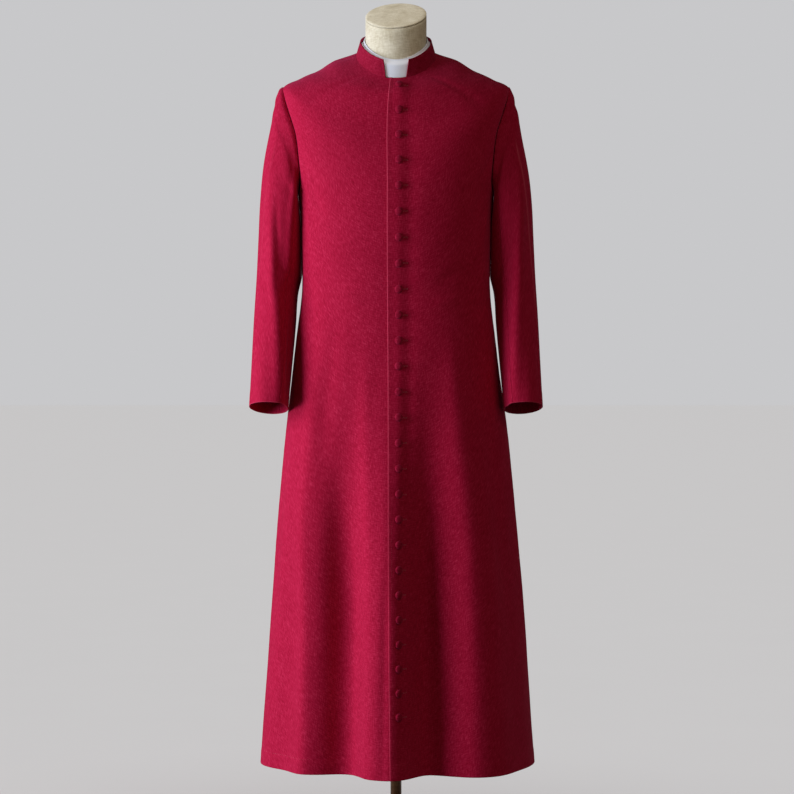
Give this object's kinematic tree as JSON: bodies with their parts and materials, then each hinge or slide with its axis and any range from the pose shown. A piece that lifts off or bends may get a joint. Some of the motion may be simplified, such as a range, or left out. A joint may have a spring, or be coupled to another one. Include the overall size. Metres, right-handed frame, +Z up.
{
  "type": "cassock on a dress form",
  "caption": "Long red cassock with a buttoned front, folded skirt, set-in sleeves and white collar band, filled out by a limbless linen dress form on a round-footed pole.",
  "frame": {"origin": "centre of the stand's round underside, on the surface that it stands on", "axes": "+Z up along the pole, -Y out of the cassock's front, +X towards the wearer's left"},
  "size_m": [0.579, 0.5097, 1.696],
  "materials": {
    "cassock_cloth": "matt fine wool twill",
    "white_collar_band": "smooth starched linen",
    "form_linen": "matt plain-weave linen",
    "stand_metal": "dark bronze lacquer"
  },
  "bodies": {
    "root": {"front_left": "cassock_cloth", "front_right": "cassock_cloth", "back_left": "cassock_cloth", "back_right": "cassock_cloth", "sleeve_left_front": "cassock_cloth", "sleeve_left_back": "cassock_cloth", "sleeve_left_under": "cassock_cloth", "sleeve_right_front": "cassock_cloth", "sleeve_right_back": "cassock_cloth", "sleeve_right_under": "cassock_cloth", "collar": "cassock_cloth", "button_01": "cassock_cloth", "button_02": "cassock_cloth", "button_03": "cassock_cloth", "button_04": "cassock_cloth", "button_05": "cassock_cloth", "button_06": "cassock_cloth", "button_07": "cassock_cloth", "button_08": "cassock_cloth", "button_09": "cassock_cloth", "button_10": "cassock_cloth", "button_11": "cassock_cloth", "button_12": "cassock_cloth", "button_13": "cassock_cloth", "button_14": "cassock_cloth", "button_15": "cassock_cloth", "button_16": "cassock_cloth", "button_17": "cassock_cloth", "button_18": "cassock_cloth", "button_19": "cassock_cloth", "button_20": "cassock_cloth", "button_21": "cassock_cloth", "button_22": "cassock_cloth", "button_23": "cassock_cloth", "button_24": "cassock_cloth", "button_25": "cassock_cloth", "button_26": "cassock_cloth", "collar_insert": "white_collar_band", "form_torso": "form_linen", "form_neck_cap": "form_linen", "stand_pole": "stand_metal", "stand_base": "stand_metal"}
  },
  "joints": []
}
